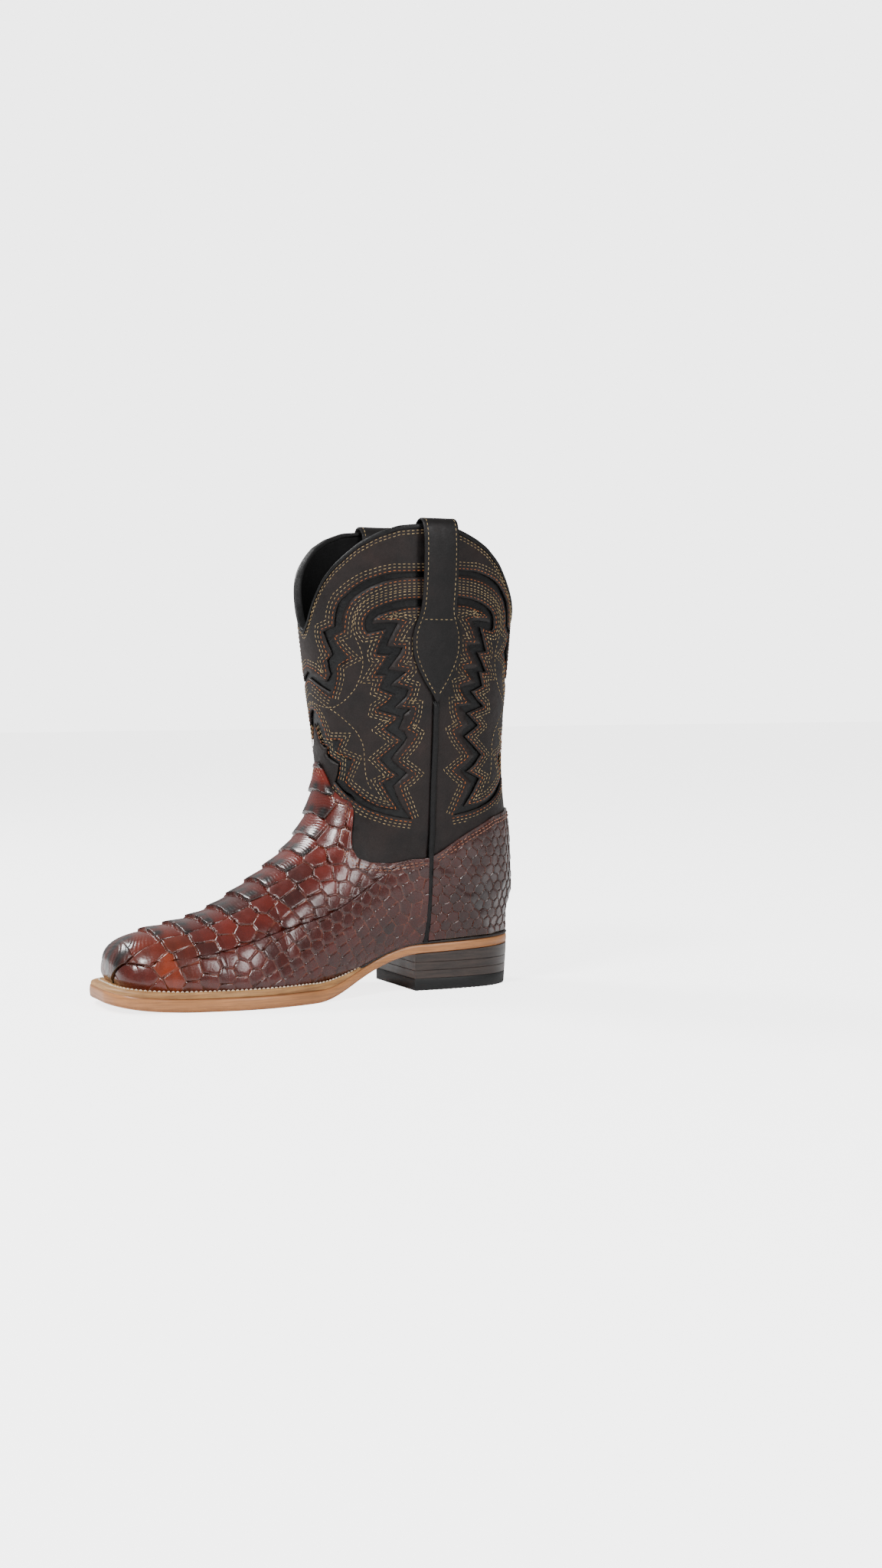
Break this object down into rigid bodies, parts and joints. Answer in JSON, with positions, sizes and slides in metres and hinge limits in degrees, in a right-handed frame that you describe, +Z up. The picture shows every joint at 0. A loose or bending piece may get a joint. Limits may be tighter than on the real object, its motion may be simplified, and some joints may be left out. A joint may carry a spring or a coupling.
{
  "type": "cowboy boot",
  "caption": "Right pull-on western boot with a square toe, scaled leather vamp and counter, cut-out shaft panels over dark inlays, pull straps, welted leather sole and stacked heel.",
  "frame": {"origin": "on the floor, at the flat underside of the heel, on the centre line", "axes": "+Z up; the toe points along -Y; +X is the inner (medial) side of the right foot"},
  "size_m": [0.12, 0.2965, 0.314],
  "materials": {
    "reptile_leather": "glossy scales",
    "dark_reptile_leather": "glossy scales",
    "shaft_leather": "matte",
    "inlay_leather": "glossy",
    "trim_leather": "satin",
    "lining_leather": "matte",
    "stiffener_board": "matte",
    "insole_leather": "matte",
    "cork": "matte",
    "steel": "bright",
    "welt_leather": "natural",
    "rand_leather": "satin",
    "sole_leather": "burnished",
    "peg_wood": "matte",
    "heel_leather": "burnished",
    "lift_rubber": "matte"
  },
  "bodies": {
    "root": {"vamp": "reptile_leather", "counter_cover": "dark_reptile_leather", "shaft_front": "shaft_leather", "shaft_back": "shaft_leather", "inlay_front_medial": "inlay_leather", "inlay_front_lateral": "inlay_leather", "inlay_back_medial": "inlay_leather", "inlay_back_lateral": "inlay_leather", "side_piping_medial": "trim_leather", "side_piping_lateral": "trim_leather", "top_binding": "trim_leather", "pull_strap_medial": "trim_leather", "pull_strap_lateral": "trim_leather", "shaft_lining_front": "lining_leather", "shaft_lining_back": "lining_leather", "vamp_lining": "lining_leather", "sock_liner": "lining_leather", "toe_box": "stiffener_board", "heel_stiffener": "stiffener_board", "insole": "insole_leather", "insole_rib": "insole_leather", "cork_filler": "cork", "steel_shank": "steel", "heel_seat_nail_1": "steel", "heel_seat_nail_2": "steel", "heel_seat_nail_3": "steel", "heel_seat_nail_4": "steel", "top_lift_nail_1": "steel", "top_lift_nail_2": "steel", "top_lift_nail_3": "steel", "top_lift_nail_4": "steel", "top_lift_nail_5": "steel", "welt": "welt_leather", "heel_rand": "rand_leather", "outsole": "sole_leather", "waist_peg_medial_1": "peg_wood", "waist_peg_lateral_1": "peg_wood", "waist_peg_medial_2": "peg_wood", "waist_peg_lateral_2": "peg_wood", "waist_peg_medial_3": "peg_wood", "waist_peg_lateral_3": "peg_wood", "waist_peg_medial_4": "peg_wood", "waist_peg_lateral_4": "peg_wood", "waist_peg_medial_5": "peg_wood", "waist_peg_lateral_5": "peg_wood", "heel_lift_1": "heel_leather", "heel_lift_2": "heel_leather", "heel_lift_3": "heel_leather", "top_lift": "lift_rubber"}
  },
  "joints": []
}
